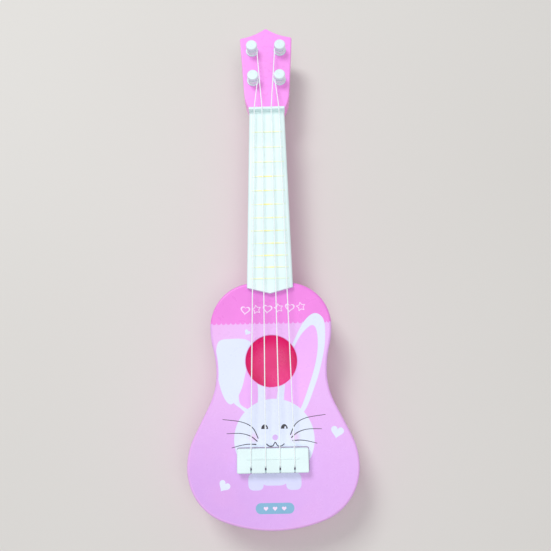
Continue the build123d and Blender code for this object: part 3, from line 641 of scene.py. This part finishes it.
def flat_top_edges(mesh, top):
    """The edges round a mesh's flat top, as pairs of vertex numbers that all run the same way round."""
    numbers = []
    first_at = {}
    for vertex in mesh.vertices:
        key = tuple(round(coordinate / SNAP) for coordinate in vertex.co)
        numbers.append(first_at.setdefault(key, vertex.index))
    edges = {}
    for face in mesh.polygons:
        corners = [numbers[vertex] for vertex in face.vertices]
        if all(abs(mesh.vertices[corner].co.z - top) < SNAP for corner in corners):
            for a, b in zip(corners, corners[1:] + corners[:1]):
                # An edge between two faces of the flat top is met once in each direction, and drops out.
                if (b, a) in edges:
                    del edges[(b, a)]
                else:
                    edges[(a, b)] = True
    return list(edges)


def flat_top_loops(node):
    """Boundary loops of the flat top of a CAD node, longest first, as lists of (x, y) in metres."""
    mesh = cad_nodes[node].data
    following = dict(flat_top_edges(mesh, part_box(node)[1].z))
    loops = []
    while following:
        start, place = next(iter(following.items()))
        loop = [start]
        del following[start]
        while place != start:
            loop.append(place)
            place = following.pop(place)
        loops.append([tuple(mesh.vertices[vertex].co[:2]) for vertex in loop])
    return sorted(loops, key=len, reverse=True)


def inside(polygon, x, y):
    """Which of the points (arrays x and y) lie inside the polygon."""
    result = np.zeros(len(x), bool)
    for (x1, y1), (x2, y2) in zip(polygon, polygon[1:] + polygon[:1]):
        if y1 != y2:
            crosses = ((y1 > y) != (y2 > y)) & (x < (x2 - x1) * (y - y1) / (y2 - y1) + x1)
            result ^= crosses
    return result


def triangulate(outlines):
    """The points and faces of a flat sheet of triangles that has every outline among its edges."""
    points = []
    edges = []
    for outline in outlines:
        first = len(points)
        count = len(outline)
        points += [Vector(point) for point in outline]
        edges += [(first + index, first + (index + 1) % count) for index in range(count)]
    flat, _, faces, _, _, _ = geometry.delaunay_2d_cdt(points, edges, [], 0, MERGE)
    return flat, faces


def face_inks(flat, faces, layers, names, rim, hole):
    """The number of the topmost ink on each face, or -1 where there is no soundboard under it."""
    corners = np.array([flat[vertex] for face in faces for vertex in face]).reshape(-1, 3, 2)
    x, y = corners.mean(axis=1).T
    numbers = np.full(len(faces), -1)
    for name, outline in layers:
        numbers[inside(outline, x, y)] = names.index(name)
    numbers[~inside(rim, x, y) | inside(hole, x, y)] = -1
    return numbers


def clean_mesh(mesh):
    """Takes out the points that no face uses, and turns all faces the same way."""
    cleanup = bmesh.new()
    cleanup.from_mesh(mesh)
    bmesh.ops.delete(cleanup, geom=[v for v in cleanup.verts if not v.link_faces], context="VERTS")
    bmesh.ops.recalc_face_normals(cleanup, faces=cleanup.faces)
    cleanup.to_mesh(mesh)
    cleanup.free()


def printed_film(inks):
    """One sheet of ink areas that lies on the soundboard, cut round the soundhole."""
    rim, hole = flat_top_loops("body_front_panel")[:2]
    layers = [("field", rim)]
    for name, outline in print_layers():
        layers.append((name, [tuple(at(x, station)[:2]) for x, station in outline]))
    flat, faces = triangulate([hole] + [outline for _, outline in layers])
    numbers = face_inks(flat, faces, layers, list(inks), rim, hole)

    mesh = bpy.data.meshes.new("printed_film")
    points = [(point.x, point.y, PANEL_TOP + FILM_LIFT) for point in flat]
    mesh.from_pydata(points, [], [face for face, number in zip(faces, numbers) if number >= 0])
    for material in inks.values():
        mesh.materials.append(material)
    mesh.polygons.foreach_set("material_index", numbers[numbers >= 0].astype(np.int32))
    clean_mesh(mesh)

    film = add_object("printed_film", mesh)
    solidify = film.modifiers.new("thickness", "SOLIDIFY")
    solidify.thickness = FILM_THICKNESS
    solidify.offset = -1.0  # the thickness goes down from the sheet
    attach(film, "instrument")
    return film


# Putting materials on the CAD nodes ---------------------------------------------------------------


def paint(material, *names):
    """Gives CAD nodes a material."""
    for name in names:
        materials = cad_nodes[name].data.materials
        materials.clear()
        materials.append(material)


def numbered(prefix):
    """The names of the four nodes that are alike, one for each string."""
    return [f"{prefix}_{number}" for number in range(1, 5)]


printed_film({
    "field": field_ink(),
    "band": ink("band", BAND),
    "white": ink("white", FACE_WHITE, variation=0.02),
    "cheek": cheek_ink(),
    "inner_ear": ink("inner_ear", rgb(241, 176, 249)),
    "pale_line": ink("pale_line", rgb(250, 218, 248), variation=0.02),
    "paw": ink("paw", rgb(216, 217, 250), variation=0.02),
    "dark": ink("dark", rgb(28, 22, 38)),
    "nose": ink("nose", rgb(216, 176, 236)),
    "pill": ink("pill", rgb(124, 178, 210)),
    # Painted shade, laid on the film round the foot of the bridge.
    "bridge_shade": ink("bridge_shade", rgb(150, 110, 150)),
})

neck_pink = moulded_plastic("neck_pink", PINK, roughness=0.3, painted_glow=PINK_PAINTED_GLOW)
fitting_white = moulded_plastic("fitting_white", WHITE, roughness=0.28, painted_glow=WHITE_PAINTED_GLOW)
paint(shell_plastic("shell_pink", roughness=0.3), "body_back_shell")
paint(panel_plastic(), "body_front_panel")
paint(neck_pink, "neck_shell", "headstock_cover")
paint(fretboard_plastic(), "fretboard")
paint(fitting_white, "nut", "bridge", *numbered("tuning_peg"), *numbered("tuning_key"))
paint(nylon(), *numbered("string"), *numbered("string_winding"))
paint(soft_washer(), *numbered("key_washer"))
paint(steel(), *numbered("key_screw"), "body_screws", "neck_screws", "fretboard_screws", "headstock_screws",
      "bridge_screws")


# Stage: floor, lights and camera ------------------------------------------------------------------

FLOOR_SIZE = 30.0
SKY_COLOUR = (0.93, 0.95, 1.0, 1.0)
SKY_STRENGTH = 0.42
CAMERA_PLACE = at(10.48, 85.46, 473.27 * MM)
CAMERA_ANGLES = (12.634, 1.0595, -1.1241)  # degrees
CAMERA_LENS = 37.895  # millimetres, as the sensor's width is
CAMERA_SENSOR = 36.0


def make_floor():
    """A plain pale floor under the toy."""
    bpy.ops.mesh.primitive_plane_add(size=FLOOR_SIZE, location=(0, 0, 0))
    floor = bpy.context.object
    floor.name = "floor"
    look = Look("pale_floor")
    look.set(Base_Color=look.mix(look.noise(size=0.5), *FLOOR_GREYS), Roughness=0.7)
    floor.data.materials.append(look.material)


def area_light(name, place, size, power, colour):
    """A square soft light at a place, aimed at the origin."""
    data = bpy.data.lights.new(name, "AREA")
    data.shape = "SQUARE"
    data.size = size
    data.energy = power
    data.color = colour
    light = add_object(name, data)
    light.location = place
    light.rotation_euler = (-Vector(place)).to_track_quat("-Z", "Y").to_euler()


def make_lights():
    """Soft studio light: a window to the left beyond the headstock, a wide lamp overhead, and a pale sky."""
    area_light("window", place=(-0.62, 0.98, 1.6), size=0.7, power=17.6, colour=(0.97, 0.99, 1.0))
    area_light("overhead", place=(0.15, -0.35, 1.9), size=1.4, power=12.2, colour=(1.0, 0.99, 0.98))
    world = bpy.data.worlds.new("studio")
    world.use_nodes = True
    background = world.node_tree.nodes["Background"]
    background.inputs["Color"].default_value = SKY_COLOUR
    background.inputs["Strength"].default_value = SKY_STRENGTH
    bpy.context.scene.world = world


def make_camera():
    """The camera looks down on the body, tipped a little towards the headstock."""
    data = bpy.data.cameras.new("camera")
    data.lens = CAMERA_LENS
    data.sensor_width = CAMERA_SENSOR
    data.clip_start = 0.01
    data.clip_end = 20
    camera = add_object("camera", data)
    camera.location = CAMERA_PLACE
    camera.rotation_euler = [math.radians(angle) for angle in CAMERA_ANGLES]
    bpy.context.scene.camera = camera


make_floor()
make_lights()
make_camera()
bpy.context.scene.view_settings.view_transform = "Standard"
